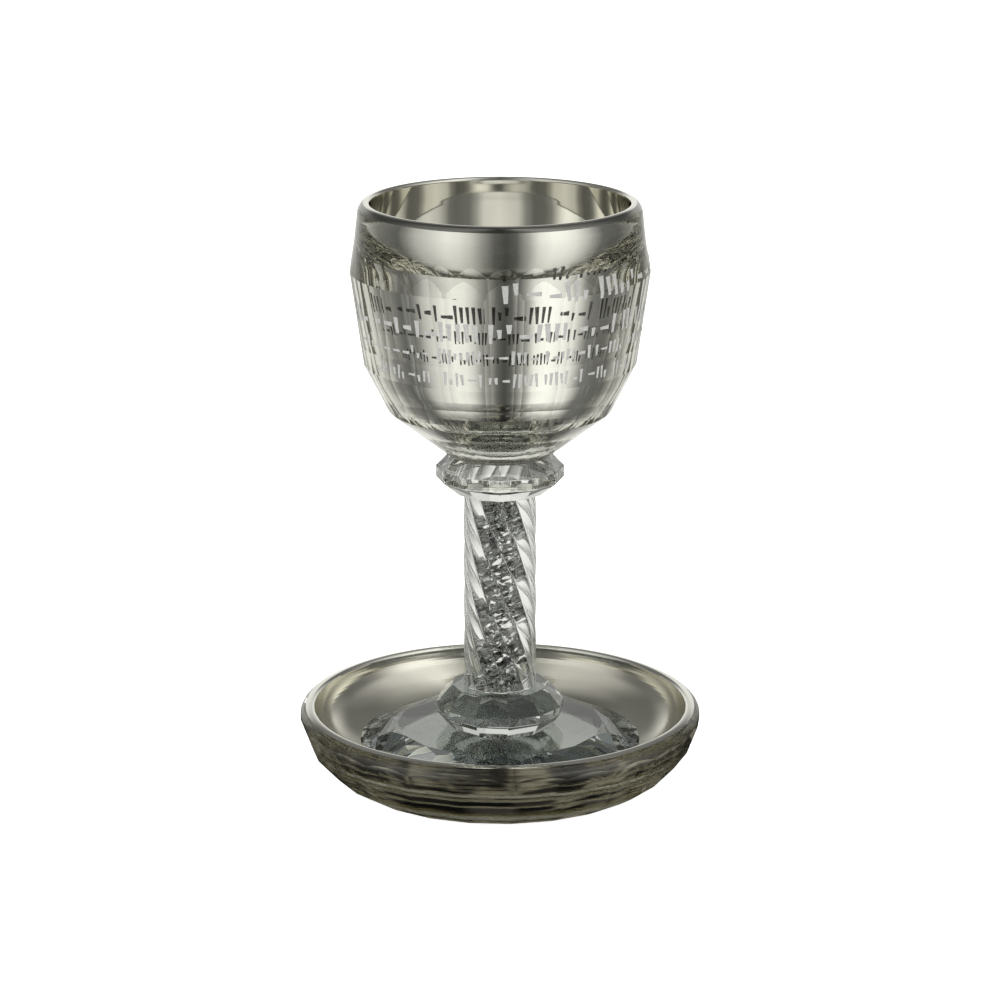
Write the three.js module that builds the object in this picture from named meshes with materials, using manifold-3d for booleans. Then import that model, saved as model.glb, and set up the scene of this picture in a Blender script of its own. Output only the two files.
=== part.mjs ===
// Kiddush cup standing in its saucer: a facet-cut crystal bowl on a twisted stem with two knobs and a
// brilliant-cut foot. Millimetres, +Z up, origin at the middle of the saucer's underside.
import * as THREE from "three";
import { mergeVertices } from "three/addons/utils/BufferGeometryUtils.js";
import Module from "manifold-3d";

const wasm = await Module();
wasm.setup();

// Heights at which one piece ends and the next begins
const SAUCER_FLOOR = 5.2;
const FOOT_TABLE = 14;
const STEM_BOTTOM = 25.5;
const STEM_TOP = 80.5;
const BOWL_BOTTOM = 91;
const RIM_TOP = 160;

// How many cuts go round each piece, and how many sides stand for a round one
const WALL_FACETS = 24;
const KNOB_FACETS = 12;
const FOOT_FACETS = 16;
const STEM_LOBES = 12;
const ROUND_SIDES = 72;

const glass = { color: 0xdfe6e0, roughness: 0.03, metalness: 0.0 };
const silvered = { color: 0xb9b8ac, roughness: 0.08, metalness: 0.9 };

const radians = THREE.MathUtils.degToRad;

// A section of [radius, height] points, from axis to axis, turned about the vertical axis. With few sides
// it is a faceted solid, whose section runs along the corners between two faces. The first corner looks
// towards cornerDeg, measured from -Y towards +X.
function turned(section, sides, cornerDeg = 0) {
  const points = section.map(([radius, height]) => new THREE.Vector2(radius, height));
  return new THREE.LatheGeometry(points, sides, radians(cornerDeg)).rotateX(Math.PI / 2);
}

// Points on an ellipse about [radius, height], from one angle to another.
function arc([radius, height], [halfWidth, halfHeight], fromDeg, toDeg, steps) {
  const clockwise = toDeg < fromDeg;
  const curve = new THREE.EllipseCurve(radius, height, halfWidth, halfHeight,
    radians(fromDeg), radians(toDeg), clockwise);
  return curve.getPoints(steps).map((point) => [point.x, point.y]);
}

// A closed mesh as a solid that can be cut, without the triangles that shrink to nothing on the axis.
function solid(geometry) {
  const bare = geometry.clone();
  bare.deleteAttribute("normal");
  bare.deleteAttribute("uv");
  const merged = mergeVertices(bare, 1e-4);
  const corners = merged.index.array;
  const triVerts = [];
  for (let i = 0; i < corners.length; i += 3) {
    const [a, b, c] = [corners[i], corners[i + 1], corners[i + 2]];
    if (a !== b && b !== c && c !== a) triVerts.push(a, b, c);
  }
  return new wasm.Manifold(new wasm.Mesh({
    numProp: 3,
    vertProperties: new Float32Array(merged.attributes.position.array),
    triVerts: new Uint32Array(triVerts),
  }));
}

// What is left of a blank once each cutter has been laid on it.
function ground(blank, cutters) {
  const mesh = cutters.reduce((body, cutter) => body.intersect(solid(cutter)), solid(blank)).getMesh();
  const geometry = new THREE.BufferGeometry();
  geometry.setAttribute("position", new THREE.BufferAttribute(new Float32Array(mesh.vertProperties), 3));
  geometry.setIndex(new THREE.BufferAttribute(new Uint32Array(mesh.triVerts), 1));
  geometry.computeVertexNormals();
  return geometry;
}

function piece(name, geometry, finish) {
  const mesh = new THREE.Mesh(geometry, new THREE.MeshStandardMaterial(finish));
  mesh.name = name;
  return mesh;
}

// Saucer: a thick dish, smooth inside, with three rows of flat facets below its rounded lip
const saucer = {
  radius: 55,
  height: 20,
  lipSide: 17.6,
  crestRadius: 51.8,
  lipRoll: 0.9,
  floorRadius: 33,
  cornerDeg: 4,
  facets: [[42.4, 0], [46.6, 2.5], [52.2, 8.5], [55.3, 16.8], [60.3, 30]],
};

function saucerGeometry() {
  const { radius, height, lipSide, crestRadius, lipRoll, floorRadius, facets } = saucer;
  const edgeRadius = crestRadius - lipRoll;
  const edgeHeight = height - lipRoll;
  const hollow = [edgeRadius - floorRadius, edgeHeight - SAUCER_FLOOR];
  const blank = [
    [0, 0],
    [radius, 0],
    ...arc([crestRadius, lipSide], [radius - crestRadius, height - lipSide], 0, 90, 4),
    ...arc([crestRadius, edgeHeight], [lipRoll, lipRoll], 90, 180, 3).slice(1),
    ...arc([floorRadius, edgeHeight], hollow, 0, -90, 8).slice(1),
    [0, SAUCER_FLOOR],
  ];
  const cutter = [[0, 0], ...facets, [0, facets.at(-1)[1]]];
  return ground(turned(blank, ROUND_SIDES), [turned(cutter, WALL_FACETS, saucer.cornerDeg)]);
}

// Foot: a round brilliant lying table up, with mains, stars and girdle facets, and a shallow back
const foot = {
  girdleRadius: 38.5,
  girdleTop: 10,
  girdleBottom: 8.6,
  tableRadius: 28.4,
  baseRadius: 31,
  starSlope: 0.24,
  girdleFacetSlope: 0.5,
  backFacetSlope: -0.62,
  girdleFacetDrop: 0.25,
};

// A pyramid whose flat sides pass through a point at [distance, height] and fall outwards with the given
// slope, or rise outwards where the slope is negative. One side looks towards sideDeg.
function pyramid(sides, sideDeg, [distance, height], slope) {
  const reach = 12;
  const halfStep = 180 / sides;
  const cornerScale = 1 / Math.cos(radians(halfStep));
  const narrow = height + Math.sign(slope) * Math.min(reach, 0.9 * distance * Math.abs(slope));
  const wide = height - Math.sign(slope) * reach;
  const levels = [narrow, wide].sort((a, b) => a - b);
  const section = levels.map((level) => [(distance + (height - level) / slope) * cornerScale, level]);
  return turned([[0, levels[0]], ...section, [0, levels[1]]], sides, sideDeg + halfStep);
}

function footGeometry() {
  const { girdleRadius, girdleTop, girdleBottom, tableRadius, baseRadius, girdleFacetDrop } = foot;
  const upperGirdle = [girdleRadius, girdleTop - girdleFacetDrop];
  const lowerGirdle = [girdleRadius, girdleBottom + girdleFacetDrop];
  const halfStep = 180 / FOOT_FACETS;
  const starDistance = tableRadius * Math.cos(radians(halfStep));
  const mainSlope = (FOOT_TABLE - girdleTop) / (girdleRadius - tableRadius);
  const backSlope = (SAUCER_FLOOR - girdleBottom) / (girdleRadius - baseRadius);
  const blank = [
    [0, SAUCER_FLOOR],
    [girdleRadius, SAUCER_FLOOR],
    [girdleRadius, FOOT_TABLE],
    [0, FOOT_TABLE],
  ];
  return ground(turned(blank, ROUND_SIDES), [
    pyramid(FOOT_FACETS, 0, [girdleRadius, girdleTop], mainSlope),
    pyramid(FOOT_FACETS, halfStep, [starDistance, FOOT_TABLE], foot.starSlope),
    pyramid(2 * FOOT_FACETS, halfStep / 2, upperGirdle, foot.girdleFacetSlope),
    pyramid(FOOT_FACETS, 0, [girdleRadius, girdleBottom], backSlope),
    pyramid(2 * FOOT_FACETS, halfStep / 2, lowerGirdle, foot.backFacetSlope),
  ]);
}

// Knobs: rondelles with an upright girdle between two rings of slanted facets
const lowerKnob = { cornerDeg: 8, facets: [[14.2, 0], [17.7, 4.3], [17.7, 6.6], [13.4, 11.5]] };
const upperKnob = { cornerDeg: 0, facets: [[12.4, 0], [17.4, 3.9], [17.4, 7.0], [14, 10.5]] };

function knobGeometry(knob, bottom) {
  const corners = knob.facets.map(([radius, height]) => [radius, bottom + height]);
  const section = [[0, corners[0][1]], ...corners, [0, corners.at(-1)[1]]];
  return turned(section, KNOB_FACETS, knob.cornerDeg);
}

// Stem: a rod of rounded lobes with narrow valleys, twisted so that the lobes fall from left to right
const stem = {
  radius: 9.9,
  valleyDepth: 0.65,
  crownFullness: 0.6,
  pointsPerLobe: 4,
  mmPerTurn: 140,
  steps: 20,
};

function stemGeometry() {
  const count = STEM_LOBES * stem.pointsPerLobe;
  const outline = Array.from({ length: count }, (_, i) => {
    const angle = (2 * Math.PI * i) / count;
    const crown = Math.abs(Math.cos((STEM_LOBES / 2) * angle)) ** stem.crownFullness;
    const radius = stem.radius - stem.valleyDepth * (1 - crown);
    return new THREE.Vector2(radius * Math.cos(angle), radius * Math.sin(angle));
  });
  const geometry = new THREE.ExtrudeGeometry(new THREE.Shape(outline), {
    depth: STEM_TOP - STEM_BOTTOM,
    steps: stem.steps,
    bevelEnabled: false,
  });
  const corners = geometry.attributes.position;
  const upright = new THREE.Vector3(0, 0, 1);
  const point = new THREE.Vector3();
  for (let i = 0; i < corners.count; i += 1) {
    point.fromBufferAttribute(corners, i);
    point.applyAxisAngle(upright, (-2 * Math.PI * point.z) / stem.mmPerTurn);
    corners.setXYZ(i, point.x, point.y, point.z + STEM_BOTTOM);
  }
  geometry.computeVertexNormals();
  return geometry;
}

// Bowl: a hollow cup with a smooth band below its rounded rim, and rows of flat facets under the band
// that cut small arches into it
const bowl = {
  rimSide: [38.1, 156.2],
  crestRadius: 35.5,
  rimRoll: 0.9,
  band: [[41.5, 141], [39.8, 144.9], [39.25, 147], [38.65, 150.4]],
  cornerDeg: 9,
  facets: [[14, BOWL_BOTTOM], [30.2, 103.6], [36.75, 116.6], [40.25, 141.5], [39.5, 146.6]],
  facetRunOut: [[48, 153], [48, RIM_TOP]],
  cavityWall: [[34.6, 153], [33.9, 147], [32.6, 141], [31.1, 134], [29.6, 127], [28, 120]],
  cavityFloor: [[25.4, 112], [20.8, 105], [13, 99.6], [0, 98]],
};

function bowlGeometry() {
  const { rimSide, crestRadius, rimRoll, band, cavityWall, cavityFloor } = bowl;
  const blank = [
    [0, BOWL_BOTTOM],
    [band[0][0], BOWL_BOTTOM],
    ...band,
    ...arc([crestRadius, rimSide[1]], [rimSide[0] - crestRadius, RIM_TOP - rimSide[1]], 0, 90, 4),
    ...arc([crestRadius, RIM_TOP - rimRoll], [rimRoll, rimRoll], 90, 180, 3).slice(1),
    ...cavityWall,
    ...cavityFloor,
  ];
  const cutter = [[0, BOWL_BOTTOM], ...bowl.facets, ...bowl.facetRunOut, [0, RIM_TOP]];
  return ground(turned(blank, ROUND_SIDES), [turned(cutter, WALL_FACETS, bowl.cornerDeg)]);
}

const cup = new THREE.Group();
cup.add(piece("saucer", saucerGeometry(), silvered));
cup.add(piece("foot", footGeometry(), glass));
cup.add(piece("lower_knob", knobGeometry(lowerKnob, FOOT_TABLE), glass));
cup.add(piece("stem", stemGeometry(), glass));
cup.add(piece("upper_knob", knobGeometry(upperKnob, STEM_TOP), glass));
cup.add(piece("bowl", bowlGeometry(), silvered));

export default cup;
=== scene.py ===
import bpy
import bmesh
import math
import random
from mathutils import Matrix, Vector
from mathutils.bvhtree import BVHTree


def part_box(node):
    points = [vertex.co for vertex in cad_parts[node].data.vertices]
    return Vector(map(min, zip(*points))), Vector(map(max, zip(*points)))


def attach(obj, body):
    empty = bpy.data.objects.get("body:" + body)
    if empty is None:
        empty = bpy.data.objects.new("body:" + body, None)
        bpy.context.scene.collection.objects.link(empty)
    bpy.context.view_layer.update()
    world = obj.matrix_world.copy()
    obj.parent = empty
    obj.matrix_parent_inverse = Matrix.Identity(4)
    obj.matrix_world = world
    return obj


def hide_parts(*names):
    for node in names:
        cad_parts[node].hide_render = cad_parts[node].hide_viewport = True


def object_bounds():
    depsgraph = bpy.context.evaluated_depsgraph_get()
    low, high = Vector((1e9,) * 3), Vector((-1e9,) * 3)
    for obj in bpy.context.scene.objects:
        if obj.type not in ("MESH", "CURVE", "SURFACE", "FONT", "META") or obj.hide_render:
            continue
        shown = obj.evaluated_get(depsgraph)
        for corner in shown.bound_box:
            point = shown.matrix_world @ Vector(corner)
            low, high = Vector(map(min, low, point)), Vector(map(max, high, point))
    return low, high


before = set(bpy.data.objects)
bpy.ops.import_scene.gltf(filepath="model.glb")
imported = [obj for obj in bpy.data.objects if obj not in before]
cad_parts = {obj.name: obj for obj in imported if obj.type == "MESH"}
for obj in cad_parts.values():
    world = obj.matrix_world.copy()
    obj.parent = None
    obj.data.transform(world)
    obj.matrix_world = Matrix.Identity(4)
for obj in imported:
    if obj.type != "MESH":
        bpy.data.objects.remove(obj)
cadLow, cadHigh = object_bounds()
scene = bpy.context.scene
mm = 0.001
print("frame loaded:", ", ".join(sorted(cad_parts)))


# sizes are in millimetres, from the cup's axis and up from the base of each piece

def bottomOf(node):
    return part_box(node)[0].z / mm


def topOf(node):
    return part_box(node)[1].z / mm


def onRound(radius, angle, height):
    # angle 0 faces the viewer, and grows towards +X
    return Vector((radius * math.sin(angle), -radius * math.cos(angle), height)) * mm


def arc(centre, radii, fromDeg, toDeg, steps, slot):
    # part of an ellipse in a section, as (radius, height, slot) points
    points = []
    for k in range(steps + 1):
        angle = math.radians(fromDeg + (toDeg - fromDeg) * k / steps)
        radius = centre[0] + radii[0] * math.cos(angle)
        height = centre[1] + radii[1] * math.sin(angle)
        points.append((radius, height, slot))
    return points


def throughPoints(points, steps, slot):
    # a soft curve through the given section points
    padded = [points[0]] + list(points) + [points[-1]]
    curve = []
    for a, b, c, d in zip(padded, padded[1:], padded[2:], padded[3:]):
        for k in range(steps):
            t = k / steps
            point = [
                0.5 * (2 * b[i] + (c[i] - a[i]) * t + (2 * a[i] - 5 * b[i] + 4 * c[i] - d[i]) * t * t
                       + (3 * b[i] - 3 * c[i] + d[i] - a[i]) * t ** 3)
                for i in range(2)]
            curve.append((point[0], point[1], slot))
    return curve + [tuple(points[-1]) + (slot,)]


def raised(section, base):
    return [(point[0], point[1] + base) + tuple(point[2:]) for point in section]


def newPiece(name, shape, finishes):
    mesh = bpy.data.meshes.new(name)
    shape.to_mesh(mesh)
    shape.free()
    piece = bpy.data.objects.new(name, mesh)
    scene.collection.objects.link(piece)
    for finish in finishes:
        mesh.materials.append(finish)
    return piece


def turned(name, section, sides, finishes, cornerDeg=0.0):
    # a closed lathe form; each point's slot finishes the band that leads to the next point
    shape = bmesh.new()
    rings = []
    for radius, height, slot in section:
        count = sides if radius > 0.001 else 1
        rings.append([
            shape.verts.new(onRound(radius, math.radians(cornerDeg) + 2 * math.pi * k / sides, height))
            for k in range(count)])
    for lower, upper, point in zip(rings, rings[1:], section):
        for k in range(sides):
            n = k + 1
            corners = [lower[k % len(lower)], lower[n % len(lower)]]
            corners += [upper[n % len(upper)], upper[k % len(upper)]]
            face = shape.faces.new(list(dict.fromkeys(corners)))   # two corners are one on the axis
            face.material_index = point[2]
            face.smooth = True
    bmesh.ops.recalc_face_normals(shape, faces=shape.faces)
    return newPiece(name, shape, finishes)


def applyModifiers(piece):
    graph = bpy.context.evaluated_depsgraph_get()
    finished = bpy.data.meshes.new_from_object(piece.evaluated_get(graph))
    piece.modifiers.clear()
    piece.data = finished


def stands(piece, node):
    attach(piece, "root")
    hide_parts(node)


# how the bowl and the saucer are cut into facets
facetCut = {"stripsPerFacet": 8, "overrun": 2.0, "smallestRadius": 0.5, "sharpDeg": 3.0}


def facetCutter(facets, sides, cornerDeg, finishes, slot, belly):
    # a many-sided lathe form whose sides are the facets, with a little belly between their edges;
    # it starts below the blank, so that no end face of it cuts
    (r0, z0), (r1, z1) = facets[0], facets[1]
    overrun = facetCut["overrun"]
    leadRadius = max(r0 - (r1 - r0) * overrun / (z1 - z0), facetCut["smallestRadius"])
    section = [(0, z0 - overrun, slot), (leadRadius, z0 - overrun, slot)]
    section += [(r, z, slot) for r, z in facets]
    section += [(0, facets[-1][1], slot)]
    cutter = turned("cutter", section, sides * facetCut["stripsPerFacet"], finishes, cornerDeg)
    half = math.pi / sides
    for point in cutter.data.vertices:
        angle = (math.atan2(point.co.x, -point.co.y) - math.radians(cornerDeg)) % (2 * half) - half
        flat = math.cos(half) / math.cos(angle)
        point.co.xy = point.co.xy * (flat + (1 - flat) * belly)
    return cutter


def cutTo(blank, cutter):
    # keeps only what lies inside the cutter, with a crisp edge wherever two facets meet
    cut = blank.modifiers.new("facets", "BOOLEAN")
    cut.operation = "INTERSECT"
    cut.solver = "EXACT"
    cut.material_mode = "INDEX"
    cut.object = cutter
    applyModifiers(blank)
    bpy.data.objects.remove(cutter)
    blank.data.shade_smooth()
    blank.data.set_sharp_from_angle(angle=math.radians(facetCut["sharpDeg"]))


# finishes: what the nodes of several of them share

def newFinish(name):
    finish = bpy.data.materials.new(name)
    finish.use_nodes = True
    nodes = finish.node_tree.nodes
    return finish, nodes, finish.node_tree.links, nodes["Principled BSDF"]


def noiseOf(nodes, links, scale, detail, stretch=(1, 1, 1)):
    # noise fixed to the object, so that it stays in place on every piece
    place = nodes.new("ShaderNodeTexCoord")
    mapping = nodes.new("ShaderNodeMapping")
    mapping.inputs["Scale"].default_value = stretch
    noise = nodes.new("ShaderNodeTexNoise")
    noise.inputs["Scale"].default_value = scale
    noise.inputs["Detail"].default_value = detail
    links.new(place.outputs["Object"], mapping.inputs["Vector"])
    links.new(mapping.outputs["Vector"], noise.inputs["Vector"])
    return noise.outputs["Fac"]


def rampOf(nodes, links, value, stops):
    ramp = nodes.new("ShaderNodeValToRGB")
    first, last = ramp.color_ramp.elements
    first.position, first.color = stops[0][0], stops[0][1] + (1,)
    last.position, last.color = stops[-1][0], stops[-1][1] + (1,)
    for position, colour in stops[1:-1]:
        ramp.color_ramp.elements.new(position).color = colour + (1,)
    links.new(value, ramp.inputs["Fac"])
    return ramp.outputs["Color"]


def rangeOf(nodes, links, value, low, high):
    span = nodes.new("ShaderNodeMapRange")
    span.inputs["To Min"].default_value = low
    span.inputs["To Max"].default_value = high
    links.new(value, span.inputs["Value"])
    return span.outputs["Result"]


def levelOf(nodes, links, value, low, high, soft="LINEAR"):
    # 0 below low, 1 above high
    level = nodes.new("ShaderNodeMapRange")
    level.interpolation_type = soft
    level.inputs["From Min"].default_value = low
    level.inputs["From Max"].default_value = high
    links.new(value, level.inputs["Value"])
    return level.outputs["Result"]


def mixOf(nodes, links, factor, first, second):
    mix = nodes.new("ShaderNodeMix")
    mix.data_type = "RGBA"
    links.new(factor, mix.inputs["Factor"])
    for socket, value in (("A", first), ("B", second)):
        entry = [i for i in mix.inputs if i.name == socket and i.type == "RGBA"][0]
        links.new(value, entry)
    return [o for o in mix.outputs if o.type == "RGBA"][0]


def addRipple(nodes, links, shader, height, strength, depth):
    bump = nodes.new("ShaderNodeBump")
    bump.inputs["Strength"].default_value = strength
    bump.inputs["Distance"].default_value = depth
    links.new(height, bump.inputs["Height"])
    links.new(bump.outputs["Normal"], shader.inputs["Normal"])


crystalLook = {
    "ior": 1.52,
    "tint": (0.975, 0.985, 0.975),
    "tintDeep": (0.96, 0.97, 0.96),
    "cloudScale": 60,
    "ripple": 0.02,
    "rippleScale": 140,
    "rippleDepth": 0.0004,
}
footLook = dict(crystalLook, tint=(0.74, 0.78, 0.79), tintDeep=(0.68, 0.72, 0.73))
# painted shade: the lower knob's crystal is tinted a little darker, in place of the dark seen through it
paintedKnobShadeLook = dict(crystalLook, tint=(0.84, 0.86, 0.85), tintDeep=(0.76, 0.78, 0.77))
# painted shade: a dark tint for facets, in place of the dark surroundings seen through them
paintedShadeLook = dict(crystalLook, tint=(0.13, 0.15, 0.15), tintDeep=(0.07, 0.085, 0.085))


def crystalFinish(name, look):
    # clear all through; the tint drifts a little from place to place, and the polish is slightly uneven
    finish, nodes, links, shader = newFinish(name)
    shader.inputs["Transmission Weight"].default_value = 1.0
    shader.inputs["IOR"].default_value = look["ior"]
    shader.inputs["Roughness"].default_value = 0.0
    cloud = noiseOf(nodes, links, look["cloudScale"], 2.0)
    tint = rampOf(nodes, links, cloud, [(0.35, look["tintDeep"]), (0.65, look["tint"])])
    links.new(tint, shader.inputs["Base Color"])
    unevenness = noiseOf(nodes, links, look["rippleScale"], 1.0)
    addRipple(nodes, links, shader, unevenness, look["ripple"], look["rippleDepth"])
    return finish


silverLook = {
    "bright": (0.87, 0.865, 0.82),
    "dull": (0.79, 0.78, 0.72),
    "cloudScale": 35,
    "rough": (0.02, 0.05),
    "roughScale": 220,
    "ripple": 0.02,
    "rippleScale": 90,
    "rippleDepth": 0.0005,
}
satinLook = dict(silverLook, bright=(0.85, 0.835, 0.75), dull=(0.76, 0.745, 0.66))
satinLook.update(rough=(0.09, 0.15), ripple=0.05)
# painted reflection: the bowl's silvered lip is made dark, in place of the dark surroundings it mirrors
reflectionPaintedLipLook = dict(silverLook, bright=(0.3, 0.3, 0.28), dull=(0.2, 0.2, 0.19), rough=(0.04, 0.1))


def silverFinish(name, look):
    finish, nodes, links, shader = newFinish(name)
    shader.inputs["Metallic"].default_value = 1.0
    cloud = noiseOf(nodes, links, look["cloudScale"], 4.0)
    tone = rampOf(nodes, links, cloud, [(0.3, look["dull"]), (0.7, look["bright"])])
    links.new(tone, shader.inputs["Base Color"])
    fine = noiseOf(nodes, links, look["roughScale"], 3.0)
    links.new(rangeOf(nodes, links, fine, *look["rough"]), shader.inputs["Roughness"])
    unevenness = noiseOf(nodes, links, look["rippleScale"], 2.0)
    addRipple(nodes, links, shader, unevenness, look["ripple"], look["rippleDepth"])
    return finish


bandLook = {"fromHeight": 147, "toHeight": 158, "low": (0.64, 0.65, 0.63), "high": (0.94, 0.945, 0.935)}


def bandFinish(name, look, band):
    # the moulded band under the bowl's rim is tinted darker towards its bottom, where the cuts end, and
    # lighter upwards
    finish = crystalFinish(name, look)
    nodes, links = finish.node_tree.nodes, finish.node_tree.links
    place = nodes.new("ShaderNodeTexCoord")
    parts = nodes.new("ShaderNodeSeparateXYZ")
    links.new(place.outputs["Object"], parts.inputs["Vector"])
    level = levelOf(nodes, links, parts.outputs["Z"], band["fromHeight"] * mm, band["toHeight"] * mm)
    darkerDownwards = rampOf(nodes, links, level, [(0, band["low"]), (1, band["high"])])
    links.new(darkerDownwards, nodes["Principled BSDF"].inputs["Base Color"])
    return finish


crystal = crystalFinish("cut_crystal", crystalLook)
footCrystal = crystalFinish("foot_crystal", footLook)
paintedKnobShadeCrystal = crystalFinish("painted_knob_shade_crystal", paintedKnobShadeLook)
paintedShadeCrystal = crystalFinish("painted_shade_crystal", paintedShadeLook)
bandCrystal = bandFinish("band_crystal", crystalLook, bandLook)
silvering = silverFinish("silvering", silverLook)
satinSilver = silverFinish("satin_silver", satinLook)
reflectionPaintedLip = silverFinish("lip_painted_reflection", reflectionPaintedLipLook)

# the bowl's lip finish carries a painted dark reflection
bowlFinishes = [bandCrystal, silvering, reflectionPaintedLip, crystal]
saucerFinishes = [crystal, satinSilver, silvering, crystal]
glass, mirror, lip, facet = 0, 1, 2, 3   # their order in both lists
bond = 0.02   # glued pieces reach this far into each other, so that light passes as through clear glue
print("finishes made")


bowl = {
    "around": 288,
    "facetsAround": 24,
    "cornerDeg": 9,
    # the tiers of facets as (radius at their edges, height); the last two lead out past the rim
    "facets": [(14, 0), (30.2, 12.6), (36.75, 25.6), (40.25, 50.5), (39.5, 55.6), (48, 62), (48, 72)],
    "belly": 0.5,
    # the moulded skin above the cuts, which meets them at a small angle, so that they end in tall arches
    "shoulder": [(42, 44), (40.36, 50), (39.98, 52), (39.42, 55), (38.75, 59.3), (38.1, 65.2)],
    "rimCentre": (35.5, 65.2),
    "rimRadii": (2.6, 3.8),
    "lipFromDeg": 38,
    "lipToDeg": 70,
    "mouthRoll": 0.9,
    "cavity": [(34.6, 68.1), (34.6, 62), (33.9, 56), (32.6, 50), (31.1, 43), (29.6, 36), (28, 29),
               (25.4, 21), (20.8, 14), (13, 8.6), (0, 7)],
}


def makeBowl(b, base):
    rimRadius, rimHeight = b["rimCentre"]
    roll = b["mouthRoll"]
    mouthHeight = rimHeight + b["rimRadii"][1] - roll
    section = [(0, -bond, glass), (b["shoulder"][0][0], -bond, glass)]
    section += throughPoints(b["shoulder"], 6, glass)
    section += arc(b["rimCentre"], b["rimRadii"], 0, b["lipFromDeg"], 6, glass)[1:-1]
    section += arc(b["rimCentre"], b["rimRadii"], b["lipFromDeg"], b["lipToDeg"], 6, lip)[:-1]
    section += arc(b["rimCentre"], b["rimRadii"], b["lipToDeg"], 90, 4, mirror)
    section += arc((rimRadius, mouthHeight), (roll, roll), 90, 180, 8, mirror)[1:-1]
    section += throughPoints(b["cavity"], 7, mirror)
    blank = turned("bowl_crystal", raised(section, base), b["around"], bowlFinishes)
    facets = raised(b["facets"], base)
    cutter = facetCutter(facets, b["facetsAround"], b["cornerDeg"], bowlFinishes, facet, b["belly"])
    cutTo(blank, cutter)
    return blank


bowlPiece = makeBowl(bowl, bottomOf("bowl"))
stands(bowlPiece, "bowl")
print("bowl cut:", len(bowlPiece.data.polygons), "faces")


saucer = {
    "around": 288,
    "facetsAround": 24,
    "cornerDeg": 4,
    "radius": 55,
    # three tiers of facets as (radius at their edges, height); the last point leads out past the rim
    "facets": [(42.4, 0), (46.6, 2.5), (52.2, 8.5), (55.3, 16.8), (60.3, 30)],
    "belly": 0.05,
    "crest": (51.8, 17.6),
    "crestRadii": (3.2, 2.4),
    "lipBandDeg": 58,
    "lipRoll": 0.9,
    "floorRadius": 33,
    "floorHeight": 5.2,
}


def makeSaucer(s, base):
    crestRadius, crestHeight = s["crest"]
    roll = s["lipRoll"]
    wallTop = crestHeight + s["crestRadii"][1] - roll
    wallRadii = (crestRadius - roll - s["floorRadius"], wallTop - s["floorHeight"])
    section = [(0, 0, glass), (s["radius"], 0, glass)]
    section += arc(s["crest"], s["crestRadii"], 0, s["lipBandDeg"], 4, glass)[:-1]
    section += arc(s["crest"], s["crestRadii"], s["lipBandDeg"], 90, 8, lip)
    section += arc((crestRadius, wallTop), (roll, roll), 90, 180, 8, lip)[1:-1]
    section += arc((s["floorRadius"], wallTop), wallRadii, 0, -90, 32, mirror)
    section += [(0, s["floorHeight"], mirror)]
    blank = turned("saucer_crystal", raised(section, base), s["around"], saucerFinishes)
    facets = raised(s["facets"], base)
    cutter = facetCutter(facets, s["facetsAround"], s["cornerDeg"], saucerFinishes, facet, s["belly"])
    cutTo(blank, cutter)
    return blank


saucerPiece = makeSaucer(saucer, bottomOf("saucer"))
stands(saucerPiece, "saucer")
print("saucer cut:", len(saucerPiece.data.polygons), "faces")


foot = {
    "around": 144,
    "facetsAround": 16,
    "girdleRadius": 38.5,
    "girdleTop": 4.8,
    "girdleBottom": 3.4,
    "height": 8.8,
    "tableRadius": 28.4,
    "baseRadius": 31,
    "starSlope": 0.24,
    "girdleFacetSlope": 0.5,
    "backFacetSlope": -0.62,
    "girdleFacetDrop": 0.25,
    "gap": 0.15,   # between its flat back and the saucer's silvered floor
    # share of the sloping facets given painted shade
    "paintedShadeShare": 0.6,
    "seed": 4,
}


def paintShadeOnFacets(faces, share, seed, steepest):
    # painted shade: some of the sloping facets get a dark tint, in place of the dark surroundings seen
    # through them
    dice = random.Random(seed)
    for face in faces:
        if 0.05 < face.normal.z < steepest and dice.random() < share:
            face.material_index = 1


def shave(shape, sides, turnDeg, at, slope, base):
    # a ring of flat facets through (radius, height); each falls outwards by the slope,
    # or, where that is negative, rises and faces down
    radius, height = at
    for k in range(sides):
        angle = math.radians(turnDeg) + 2 * math.pi * k / sides
        outward = Vector((math.sin(angle) * slope, -math.cos(angle) * slope, 1)) * math.copysign(1, slope)
        cut = bmesh.ops.bisect_plane(
            shape, geom=shape.verts[:] + shape.edges[:] + shape.faces[:], dist=1e-8,
            plane_co=onRound(radius, angle, base + height), plane_no=outward.normalized(), clear_outer=True)
        rim = [item for item in cut["geom_cut"] if isinstance(item, bmesh.types.BMEdge)]
        if rim:
            bmesh.ops.contextual_create(shape, geom=rim)


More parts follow.
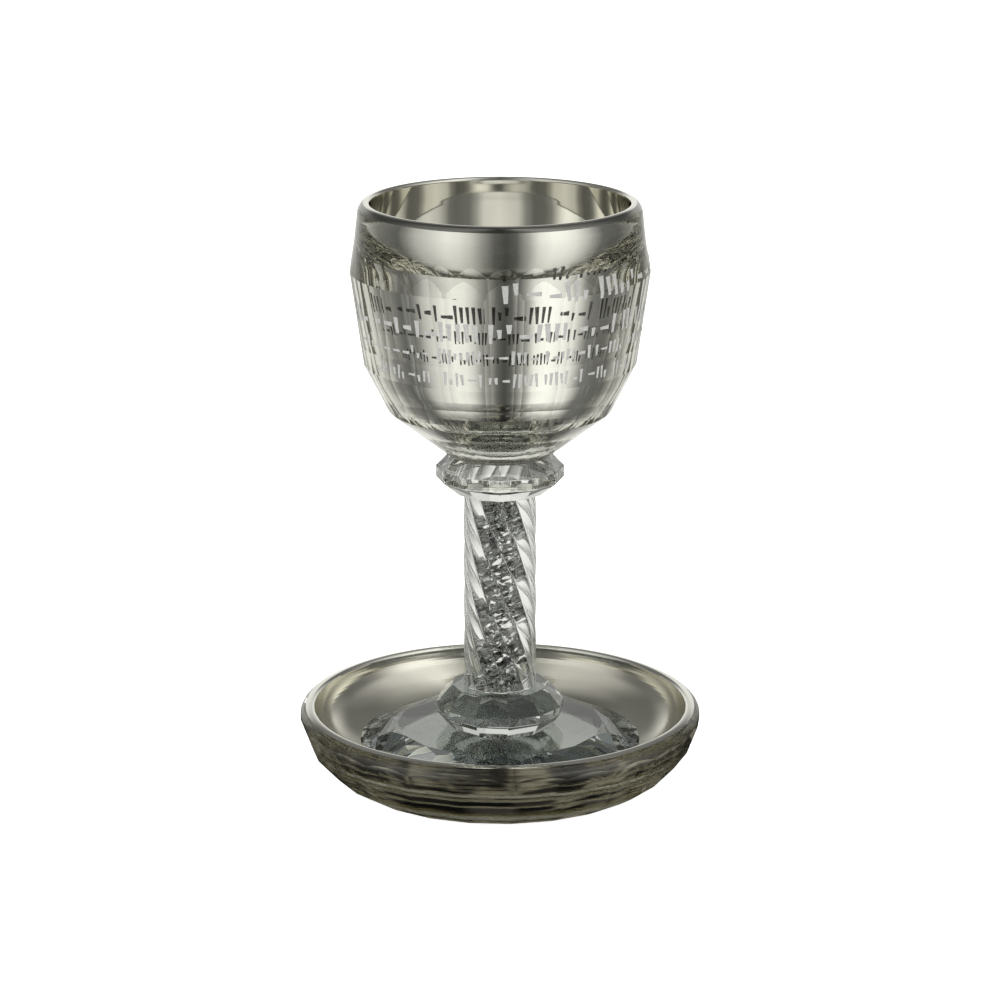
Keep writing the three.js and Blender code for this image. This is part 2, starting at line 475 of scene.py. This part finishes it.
def makeFoot(f, base):
    n = f["facetsAround"]
    turn = 360 / n
    shape = bmesh.new()
    rings = [
        [shape.verts.new(onRound(f["girdleRadius"], 2 * math.pi * k / f["around"], base + height))
         for k in range(f["around"])]
        for height in (f["gap"], f["height"])]
    shape.faces.new(rings[0][::-1])
    shape.faces.new(rings[1])
    for k in range(f["around"]):
        following = (k + 1) % f["around"]
        shape.faces.new((rings[0][k], rings[0][following], rings[1][following], rings[1][k]))
    crownSlope = (f["height"] - f["girdleTop"]) / (f["girdleRadius"] - f["tableRadius"])
    backSlope = -f["girdleBottom"] / (f["girdleRadius"] - f["baseRadius"])
    tableEdge = f["tableRadius"] * math.cos(math.pi / n)
    upperGirdle = f["girdleTop"] - f["girdleFacetDrop"]
    lowerGirdle = f["girdleBottom"] + f["girdleFacetDrop"]
    shave(shape, n, 0, (f["girdleRadius"], f["girdleTop"]), crownSlope, base)
    shave(shape, n, turn / 2, (tableEdge, f["height"]), f["starSlope"], base)
    shave(shape, 2 * n, turn / 4, (f["girdleRadius"], upperGirdle), f["girdleFacetSlope"], base)
    shave(shape, n, 0, (f["girdleRadius"], f["girdleBottom"]), backSlope, base)
    shave(shape, 2 * n, turn / 4, (f["girdleRadius"], lowerGirdle), f["backFacetSlope"], base)
    bmesh.ops.remove_doubles(shape, verts=shape.verts, dist=1e-6)
    bmesh.ops.dissolve_degenerate(shape, edges=shape.edges, dist=1e-6)
    bmesh.ops.recalc_face_normals(shape, faces=shape.faces)
    paintShadeOnFacets(shape.faces, f["paintedShadeShare"], f["seed"], 0.97)
    return newPiece("crystal_foot", shape, [footCrystal, paintedShadeCrystal])


footPiece = makeFoot(foot, bottomOf("foot"))
stands(footPiece, "foot")
print("foot cut:", len(footPiece.data.polygons), "faces")


# some facets of both knobs carry painted shade, a dark tint in place of the dark seen through them
knobs = {
    # painted shade: the lower knob's crystal is tinted darker all through
    "lower_knob": {"facets": [(14.2, 0), (17.7, 4.3), (17.7, 6.6), (13.4, 11.5)], "cornerDeg": 8,
                   "paintedShadeShare": 0.5, "finish": paintedKnobShadeCrystal},
    "upper_knob": {"facets": [(12.4, 0), (17.4, 3.9), (17.4, 7.0), (14, 10.5)], "cornerDeg": 0,
                   "paintedShadeShare": 0.15, "finish": crystal},
}
knobShape = {"facetsAround": 12, "edge": 0.12, "edgeDeg": 6, "seed": 12}


def softenEdges(piece, width, angleDeg):
    # polished edges: a narrow bevel wherever two facets meet
    bevel = piece.modifiers.new("edges", "BEVEL")
    bevel.width = width * mm
    bevel.segments = 1
    bevel.limit_method = "ANGLE"
    bevel.angle_limit = math.radians(angleDeg)
    applyModifiers(piece)


def makeKnob(name, knob, shape, base):
    facets = knob["facets"]
    section = [(0, -bond), (facets[0][0], -bond)] + facets[1:] + [(0, facets[-1][1])]
    section = [(r, z, glass) for r, z in raised(section, base)]
    finishes = [knob["finish"], paintedShadeCrystal]
    piece = turned("crystal_" + name, section, shape["facetsAround"], finishes, knob["cornerDeg"])
    for face in piece.data.polygons:
        face.use_smooth = False
    paintShadeOnFacets(piece.data.polygons, knob["paintedShadeShare"], shape["seed"], 0.99)
    softenEdges(piece, shape["edge"], shape["edgeDeg"])
    return piece


for nodeName, knob in knobs.items():
    knobPiece = makeKnob(nodeName, knob, knobShape, bottomOf(nodeName))
    stands(knobPiece, nodeName)
print("knobs cut")


stem = {
    "radius": 9.9,
    "valleyDepth": 0.65,
    "crownFullness": 0.6,
    "lobes": 12,
    "pointsPerLobe": 16,
    "mmPerTurn": 140,
    "steps": 110,
    "boreRadius": 4.1,
    "boreFloor": 0.6,
    "boreRoof": 1.6,
    "boreSteps": 6,
}


def makeStem(s, base, top):
    shape = bmesh.new()
    around = s["lobes"] * s["pointsPerLobe"]
    base -= bond
    height = top - base

    def ring(radiusAt, z):
        turn = -2 * math.pi * z / s["mmPerTurn"]
        angles = [2 * math.pi * k / around for k in range(around)]
        return [shape.verts.new(onRound(radiusAt(angle), turn + angle, base + z)) for angle in angles]

    def lobed(angle):
        crown = abs(math.cos(s["lobes"] / 2 * angle)) ** s["crownFullness"]
        return s["radius"] - s["valleyDepth"] * (1 - crown)

    def bored(angle):
        return s["boreRadius"]

    def skin(first, second):
        for k in range(around):
            n = (k + 1) % around
            shape.faces.new((first[k], first[n], second[n], second[k])).smooth = True

    def cap(points, centreHeight):
        middle = shape.verts.new((0, 0, centreHeight * mm))
        for k in range(around):
            shape.faces.new((points[k], points[(k + 1) % around], middle))

    def tube(radiusAt, fromHeight, toHeight, steps, hollow):
        rings = [ring(radiusAt, fromHeight + (toHeight - fromHeight) * k / steps) for k in range(steps + 1)]
        for lower, upper in zip(rings, rings[1:]):
            if hollow:
                skin(upper, lower)
            else:
                skin(lower, upper)
        cap(rings[0], base + fromHeight)
        cap(rings[-1], base + toHeight)

    tube(lobed, 0, height, s["steps"], False)
    tube(bored, s["boreFloor"], height - s["boreRoof"], s["boreSteps"], True)
    bmesh.ops.recalc_face_normals(shape, faces=shape.faces)
    return newPiece("crystal_stem", shape, [crystal])


stemPiece = makeStem(stem, bottomOf("stem"), topOf("stem"))
stands(stemPiece, "stem")
print("stem made:", len(stemPiece.data.polygons), "faces")


# crushed mirror, sealed in the stem's bore
chips = {
    "count": 2300,
    "size": (0.34, 0.66),
    "tallness": 1.6,
    "thick": (0.08, 0.2),
    "clear": 0.1,   # to the wall of the bore
    "innerShare": 0.66,
    "tiltDeg": 60,
    "corners": [3, 4, 4, 5, 5, 6],
    "cornerJitter": 0.25,
    "cornerReach": (0.65, 1),
    "frontShare": 0.8,
    "leanShare": (0.25, 1),
    # one shard in seven is dark, and nearly all the others are bright mirror
    "tones": [(0.0, (0.03, 0.03, 0.03)), (0.14, (0.12, 0.12, 0.12)), (0.22, (0.92, 0.93, 0.92)),
              (1.0, (1.0, 1.0, 1.0))],
    "rough": (0.02, 0.16),
    "ripple": 0.1,
    "rippleScale": 900,
    "rippleDepth": 0.0001,
    "seed": 7,
}


def chipFinish(c):
    # each shard has a tone and a polish of its own
    finish, nodes, links, shader = newFinish("mirror_chips")
    shader.inputs["Metallic"].default_value = 1.0
    shard = nodes.new("ShaderNodeNewGeometry").outputs["Random Per Island"]
    links.new(rampOf(nodes, links, shard, c["tones"]), shader.inputs["Base Color"])
    links.new(rangeOf(nodes, links, shard, *c["rough"]), shader.inputs["Roughness"])
    unevenness = noiseOf(nodes, links, c["rippleScale"], 2.0)
    addRipple(nodes, links, shader, unevenness, c["ripple"], c["rippleDepth"])
    return finish


def addShard(shape, dice, c, centre, facing, size, wall):
    # a flat shard with a few uneven corners, a little smaller in front than at its back
    spin = facing.to_track_quat("Z", "Y")
    count = dice.choice(c["corners"])
    start = dice.uniform(0, 2 * math.pi)
    thick = dice.uniform(*c["thick"])
    front, back = [], []
    for k in range(count):
        turn = start + 2 * math.pi * (k + dice.uniform(-c["cornerJitter"], c["cornerJitter"])) / count
        reach = size * dice.uniform(*c["cornerReach"])
        for corners, level, share in ((front, thick, c["frontShare"]), (back, -thick, 1.0)):
            offset = spin @ Vector((math.cos(turn) * reach * share, math.sin(turn) * reach * share, level))
            offset.z *= c["tallness"]
            point = centre + offset * mm
            flatReach = math.hypot(point.x, point.y)
            if flatReach > wall * mm:
                point.xy = point.xy * (wall * mm / flatReach)
            corners.append(shape.verts.new(point))
    shape.faces.new(front)
    shape.faces.new(back[::-1])
    for k in range(count):
        n = (k + 1) % count
        shape.faces.new((back[k], back[n], front[n], front[k]))


def makeChips(c, s, base, top):
    # the shards lie roughly along the wall of the bore, each leaning its own way
    shape = bmesh.new()
    dice = random.Random(c["seed"])
    wall = s["boreRadius"] - c["clear"]
    lowest = base - bond + s["boreFloor"] + c["clear"]
    highest = top - s["boreRoof"] - c["clear"]
    for number in range(c["count"]):
        size = dice.uniform(*c["size"])
        radius = (wall - size * 0.5) * math.sqrt(dice.uniform(c["innerShare"] ** 2, 1))
        angle = dice.uniform(0, 2 * math.pi)
        tall = size * c["tallness"]
        centre = onRound(radius, angle, dice.uniform(lowest + tall, highest - tall))
        outward = Vector((math.sin(angle), -math.cos(angle), 0))
        lean = Vector([dice.gauss(0, 1) for _ in range(3)]).normalized()
        facing = outward + lean * math.tan(math.radians(c["tiltDeg"])) * dice.uniform(*c["leanShare"])
        addShard(shape, dice, c, centre, facing.normalized(), size, wall)
    bmesh.ops.recalc_face_normals(shape, faces=shape.faces)
    return newPiece("mirror_chips", shape, [chipFinish(c)])


chipPiece = makeChips(chips, stem, bottomOf("stem"), topOf("stem"))
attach(chipPiece, "root")
print("chips filled in:", chips["count"])


# frosted strokes in rows on the bowl; widths and places are shares of a row's height
markRows = [
    {"height": 52.0, "tall": 6.5, "fromDeg": 2, "toDeg": 88},
    {"height": 41.5, "tall": 6.0, "fromDeg": -78, "toDeg": 82},
    {"height": 35.0, "tall": 4.0, "fromDeg": -72, "toDeg": 74},
    {"height": 28.7, "tall": 4.0, "fromDeg": -60, "toDeg": 66},
]
marks = {
    "lift": 0.02,
    "thick": 0.06,
    "cell": 0.7,
    "groupWide": (1.6, 3.6),
    "groupGap": 0.55,
    "wide": (0.15, 0.2),
    "footWide": 0.8,
    "taper": 0.5,
    "mix": ["bar", "bar", "tick", "dash"],
    "bar": {"long": (0.7, 0.95), "level": 0.5, "lean": 0.1, "gap": 0.2},
    "tick": {"long": (0.35, 0.5), "levels": [0.72, 0.5, 0.3], "lean": 0.12, "gap": 0.24},
    "dash": {"long": (0.4, 0.6), "levels": [0.5, 0.38], "wide": 0.9, "gap": 0.3},
    "rayStart": 10,
    "rowInset": 2,
    "frost": {"grain": 1800, "rough": (0.45, 0.65)},
    "frontTones": [(0.26, 0.26, 0.25), (0.34, 0.34, 0.33)],
    # painted shade: the strokes' backs are darker than their fronts, so that the mirror shows dark copies
    "paintedShadeBackTones": [(0.05, 0.05, 0.045), (0.09, 0.09, 0.085)],
    "seed": 23,
}


def frostFinish(name, frost, tones):
    finish, nodes, links, shader = newFinish(name)
    grain = noiseOf(nodes, links, frost["grain"], 2.0)
    tone = rampOf(nodes, links, grain, [(0.3, tones[0]), (0.7, tones[1])])
    links.new(tone, shader.inputs["Base Color"])
    links.new(rangeOf(nodes, links, grain, *frost["rough"]), shader.inputs["Roughness"])
    return finish


def strokesOfGroup(m, dice, width, tall):
    # upright bars, short ticks and lying dashes side by side, each on its own,
    # as (along, level, long, wide, lean)
    bar, tick, dash = m["bar"], m["tick"], m["dash"]
    strokes = []
    at = 0.0
    while at < width:
        wide = tall * dice.uniform(*m["wide"])
        kind = dice.choice(m["mix"])
        if kind == "bar":
            long = tall * dice.uniform(*bar["long"])
            strokes.append((at, tall * bar["level"], long, wide, dice.uniform(-bar["lean"], bar["lean"])))
            at += wide + tall * bar["gap"]
        elif kind == "tick":
            level = tall * dice.choice(tick["levels"])
            long = tall * dice.uniform(*tick["long"])
            strokes.append((at, level, long, wide, dice.uniform(-tick["lean"], tick["lean"])))
            at += wide + tall * tick["gap"]
        else:
            long = tall * dice.uniform(*dash["long"])
            level = tall * dice.choice(dash["levels"])
            strokes.append((at + long / 2, level, long, wide * dash["wide"], math.pi / 2))
            at += long + tall * dash["gap"]
    return strokes


def makeMarks(m, rows, vessel, base):
    shape = bmesh.new()
    dice = random.Random(m["seed"])
    tree = BVHTree.FromObject(vessel, bpy.context.evaluated_depsgraph_get())
    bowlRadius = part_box("bowl")[1].x / mm
    rowRadius = bowlRadius - m["rowInset"]

    def onSkin(along, height, proud):
        # a point on the bowl, found by a ray from outside towards the axis
        angle = along / rowRadius
        start = onRound(bowlRadius + m["rayStart"], angle, height)
        inward = Vector((-math.sin(angle), math.cos(angle), 0))
        hit = tree.ray_cast(start, inward)[0]
        return hit - inward * proud * mm

    def addStroke(centre, height, long, wide, lean):
        # a thin plate that follows the bowl and widens upwards; its back is darker, painted shade so that
        # the mirror shows dark copies
        steps = max(2, round(long / m["cell"]))
        front, back = [], []
        for k in range(steps + 1):
            t = k / steps - 0.5
            half = wide / 2 * (m["footWide"] + m["taper"] * (t + 0.5))
            row = []
            for side in (-1, 0, 1):
                x = centre + long * t * math.sin(lean) + side * half * math.cos(lean)
                z = height + long * t * math.cos(lean) - side * half * math.sin(lean)
                row.append((x, z))
            front.append([shape.verts.new(onSkin(x, z, m["lift"] + m["thick"])) for x, z in row])
            back.append([shape.verts.new(onSkin(x, z, m["lift"])) for x, z in row])
        for k in range(steps):
            for i in range(2):
                shape.faces.new((front[k][i], front[k][i + 1], front[k + 1][i + 1], front[k + 1][i]))
                under = shape.faces.new((back[k + 1][i], back[k + 1][i + 1], back[k][i + 1], back[k][i]))
                under.material_index = 1
            for i in (0, 2):
                shape.faces.new((front[k][i], front[k + 1][i], back[k + 1][i], back[k][i]))
        for k in (0, steps):
            for i in range(2):
                shape.faces.new((front[k][i], front[k][i + 1], back[k][i + 1], back[k][i]))

    for row in rows:
        tall = row["tall"]
        at = math.radians(row["fromDeg"]) * rowRadius
        end = math.radians(row["toDeg"]) * rowRadius
        while at < end:
            width = tall * dice.uniform(*m["groupWide"])
            for x, z, long, wide, lean in strokesOfGroup(m, dice, width, tall):
                addStroke(at + x, base + row["height"] + z - tall / 2, long, wide, lean)
            at += width + tall * m["groupGap"]
    bmesh.ops.recalc_face_normals(shape, faces=shape.faces)
    frosted = frostFinish("frosted", m["frost"], m["frontTones"])
    # the darker back is painted shade
    frostedPaintedShadeBack = frostFinish("frosted_painted_shade_back", m["frost"], m["paintedShadeBackTones"])
    return newPiece("frosted_marks", shape, [frosted, frostedPaintedShadeBack])


markPiece = makeMarks(marks, markRows, bowlPiece, bottomOf("bowl"))
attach(markPiece, "root")
print("marks made:", len(markPiece.data.polygons), "faces")


# tones of the surroundings by compass angle, in degrees from the viewer's side and growing towards +X:
# the painted reflection card in place of the table, the lower and the upper walls, and the ceiling
paintedReflectionTones = [
    (-180, 1.0), (-148, 0.88), (-135, 0.5), (-124, 0.27), (-95, 0.13), (-85, 0.3), (-75, 0.58), (-62, 0.8),
    (-46, 1.12), (-35, 1.05), (-25, 0.8), (-15, 0.4), (-5, 0.15), (5, 0.08), (14, 0.14), (24, 0.5),
    (33, 1.05), (45, 1.28), (56, 1.22), (66, 1.06), (76, 0.72), (86, 0.38), (95, 0.16), (118, 0.14),
    (134, 0.3), (146, 0.55), (160, 0.85), (180, 1.0)]
lowTones = [
    (-180, 0.9), (-152, 0.8), (-138, 0.4), (-125, 0.2), (-100, 0.16), (-88, 0.2), (-78, 0.42), (-66, 0.64),
    (-46, 0.8), (-34, 0.76), (-24, 0.6), (-14, 0.4), (-5, 0.18), (5, 0.12), (14, 0.18), (24, 0.5),
    (34, 1.0), (46, 1.18), (58, 1.2), (66, 1.0), (76, 0.6), (86, 0.28), (98, 0.17), (118, 0.15),
    (134, 0.3), (148, 0.7), (180, 0.9)]
highTones = [
    (-180, 0.2), (-140, 0.16), (-118, 0.15), (-104, 0.24), (-90, 0.4), (-75, 0.52), (-58, 0.6), (-42, 0.62),
    (-28, 0.42), (-12, 0.2), (0, 0.14), (15, 0.22), (30, 0.6), (45, 0.95), (58, 0.9), (72, 0.72), (85, 0.6),
    (100, 0.38), (118, 0.22), (135, 0.15), (155, 0.16), (180, 0.2)]
topTones = [
    (-180, 0.15), (-150, 0.12), (-133, 0.14), (-117, 0.25), (-100, 0.35), (-86, 0.45), (-70, 0.5),
    (-57, 0.58), (-44, 0.62), (-30, 0.4), (-15, 0.16), (0, 0.1), (15, 0.18), (30, 0.55), (45, 1.0),
    (60, 0.95), (72, 0.72), (85, 0.55), (100, 0.45), (118, 0.32), (137, 0.24), (160, 0.18), (180, 0.15)]
# how strongly the painted light of the card shows over its painted shadow, by distance from the axis in
# metres
paintedLightReach = [(0.058, 0.0), (0.078, 0.2), (0.1, 0.5), (0.125, 0.95), (0.14, 1.0), (0.18, 0.97), (0.5, 0.97)]
room = {
    "floorReach": 12.0,
    "floorGlow": 0.85,
    "floorPale": (0.93, 0.93, 0.93),
    "floorShade": (0.90, 0.90, 0.90),
    "floorGrain": 8,
    # painted shadow and painted reflection tones of the card the crystal sees in place of the table
    "paintedShadowDark": (0.004, 0.004, 0.004),
    "paintedShadowBronze": (0.2, 0.185, 0.145),
    "paintedShadowGrain": 38,
    "paintedReflectionGlow": 1.15,
    "paintedCardDrop": 0.0005,
    "warmth": (1.0, 0.995, 0.95),
    "wallDeg": (14, 28),      # the low tones give way to the high ones between these heights
    "ceilingDeg": (42, 56),   # and those to the top ones
}


def compassRamp(nodes, links, x, y, tones, tint):
    # a soft ring of tones round the object
    back = nodes.new("ShaderNodeMath")
    back.operation = "MULTIPLY"
    back.inputs[1].default_value = -1
    links.new(y, back.inputs[0])
    angle = nodes.new("ShaderNodeMath")
    angle.operation = "ARCTAN2"
    links.new(x, angle.inputs[0])
    links.new(back.outputs[0], angle.inputs[1])
    turn = levelOf(nodes, links, angle.outputs[0], -math.pi, math.pi)
    stops = [(0.5 + degrees / 360, tuple(tone * t for t in tint)) for degrees, tone in tones]
    return rampOf(nodes, links, turn, stops)


def dimmed(tones, by):
    return [(angle, tone / by) for angle, tone in tones]


def groundDisc(name, finish, drop):
    shape = bmesh.new()
    bmesh.ops.create_circle(shape, cap_ends=True, radius=room["floorReach"], segments=64)
    disc = newPiece(name, shape, [finish])
    disc.location.z = cadLow.z - drop
    return disc


def makeFloor(r):
    finish, nodes, links, shader = newFinish("pale_floor")
    cloud = noiseOf(nodes, links, r["floorGrain"], 2.0)
    tone = rampOf(nodes, links, cloud, [(0.3, r["floorShade"]), (0.7, r["floorPale"])])
    links.new(tone, shader.inputs["Base Color"])
    shader.inputs["Roughness"].default_value = 0.9
    shader.inputs["Emission Color"].default_value = (1, 1, 1, 1)
    shader.inputs["Emission Strength"].default_value = r["floorGlow"]
    floor = groundDisc("floor", finish, 0)
    floor.visible_glossy = False
    floor.visible_transmission = False


def makePaintedReflectionCard(r):
    # painted reflection: a glowing card that only the crystal sees, in place of the table; painted shadow
    # in dark streaks close to the saucer, painted light in wedges further out
    finish, nodes, links, shader = newFinish("painted_reflection_card")
    place = nodes.new("ShaderNodeTexCoord").outputs["Object"]
    distance = nodes.new("ShaderNodeVectorMath")
    distance.operation = "LENGTH"
    links.new(place, distance.inputs[0])
    farthest = paintedLightReach[-1][0]
    spread = levelOf(nodes, links, distance.outputs["Value"], 0, farthest)
    reach = rampOf(nodes, links, spread, [(d / farthest, (share,) * 3) for d, share in paintedLightReach])
    parts = nodes.new("ShaderNodeSeparateXYZ")
    links.new(place, parts.inputs["Vector"])
    tones = dimmed(paintedReflectionTones, r["paintedReflectionGlow"])
    paintedLightWedges = compassRamp(nodes, links, parts.outputs["X"], parts.outputs["Y"], tones, r["warmth"])
    grain = noiseOf(nodes, links, r["paintedShadowGrain"], 4.0, (1, 1.8, 1))
    paintedShadowStreaks = rampOf(nodes, links, grain, [(0.51, r["paintedShadowDark"]), (0.6, r["paintedShadowBronze"])])
    glow = nodes.new("ShaderNodeEmission")
    glow.inputs["Strength"].default_value = r["paintedReflectionGlow"]
    links.new(mixOf(nodes, links, reach, paintedShadowStreaks, paintedLightWedges), glow.inputs["Color"])
    links.new(glow.outputs["Emission"], nodes["Material Output"].inputs["Surface"])
    nodes.remove(shader)
    card = groundDisc("painted_reflection_card", finish, r["paintedCardDrop"])
    card.visible_camera = False
    card.visible_diffuse = False
    card.visible_shadow = False


def makeRoom(r):
    world = bpy.data.worlds.new("room")
    scene.world = world
    world.use_nodes = True
    nodes, links = world.node_tree.nodes, world.node_tree.links
    background = nodes["Background"]
    place = nodes.new("ShaderNodeTexCoord")
    parts = nodes.new("ShaderNodeSeparateXYZ")
    links.new(place.outputs["Generated"], parts.inputs["Vector"])
    x, y, z = (parts.outputs[axis] for axis in "XYZ")
    rings = (lowTones, highTones, topTones)
    brightest = max(tone for ring in rings for _, tone in ring)
    low, high, top = (
        compassRamp(nodes, links, x, y, dimmed(ring, brightest), r["warmth"]) for ring in rings)
    tone = low
    for heights, above in ((r["wallDeg"], high), (r["ceilingDeg"], top)):
        fromZ, toZ = (math.sin(math.radians(height)) for height in heights)
        tone = mixOf(nodes, links, levelOf(nodes, links, z, fromZ, toZ, "SMOOTHSTEP"), tone, above)
    links.new(tone, background.inputs["Color"])
    background.inputs["Strength"].default_value = brightest


softboxes = {
    "left_box": {"azimuthDeg": -55, "elevationDeg": 28, "distance": 1.1, "size": (0.55, 0.9), "power": 7.0},
    "right_box": {"azimuthDeg": 58, "elevationDeg": 26, "distance": 1.1, "size": (0.5, 0.9), "power": 6.0},
    "top_box": {"azimuthDeg": 180, "elevationDeg": 78, "distance": 1.2, "size": (1.0, 0.7), "power": 10.0},
}


def makeLights(boxes):
    # these light the floor and the strokes; the glass sees the room's tones instead
    aim = (cadLow + cadHigh) / 2
    for name, box in boxes.items():
        azimuth = math.radians(box["azimuthDeg"])
        elevation = math.radians(box["elevationDeg"])
        flat = math.cos(elevation)
        away = Vector((math.sin(azimuth) * flat, -math.cos(azimuth) * flat, math.sin(elevation)))
        lamp = bpy.data.lights.new(name, "AREA")
        lamp.shape = "RECTANGLE"
        lamp.size, lamp.size_y = box["size"]
        lamp.energy = box["power"]
        holder = bpy.data.objects.new(name, lamp)
        holder.location = aim + away * box["distance"]
        holder.rotation_euler = away.to_track_quat("Z", "Y").to_euler()
        holder.visible_glossy = False
        holder.visible_transmission = False
        scene.collection.objects.link(holder)


makeFloor(room)
makePaintedReflectionCard(room)
makeRoom(room)
makeLights(softboxes)
print("table, room and lights set")


camera = {
    "aimShare": 0.485,   # how far up the object it looks
    "distance": 0.9504,
    "pitchDeg": 15.56,
    "lens": 126.07,
    "sensor": 36,
    "clipStart": 0.01,
}


def makeCamera(c):
    pitch = math.radians(c["pitchDeg"])
    aim = Vector((0, 0, cadLow.z + (cadHigh.z - cadLow.z) * c["aimShare"]))
    data = bpy.data.cameras.new("camera")
    data.lens = c["lens"]
    data.sensor_width = c["sensor"]
    data.clip_start = c["clipStart"]
    holder = bpy.data.objects.new("camera", data)
    holder.location = aim + Vector((0, -math.cos(pitch), math.sin(pitch))) * c["distance"]
    holder.rotation_euler = (math.pi / 2 - pitch, 0, 0)
    scene.collection.objects.link(holder)
    scene.camera = holder


makeCamera(camera)
scene.view_settings.view_transform = "Standard"
scene.cycles.max_bounces = 32
scene.cycles.glossy_bounces = 16
scene.cycles.transmission_bounces = 24
print("camera set")
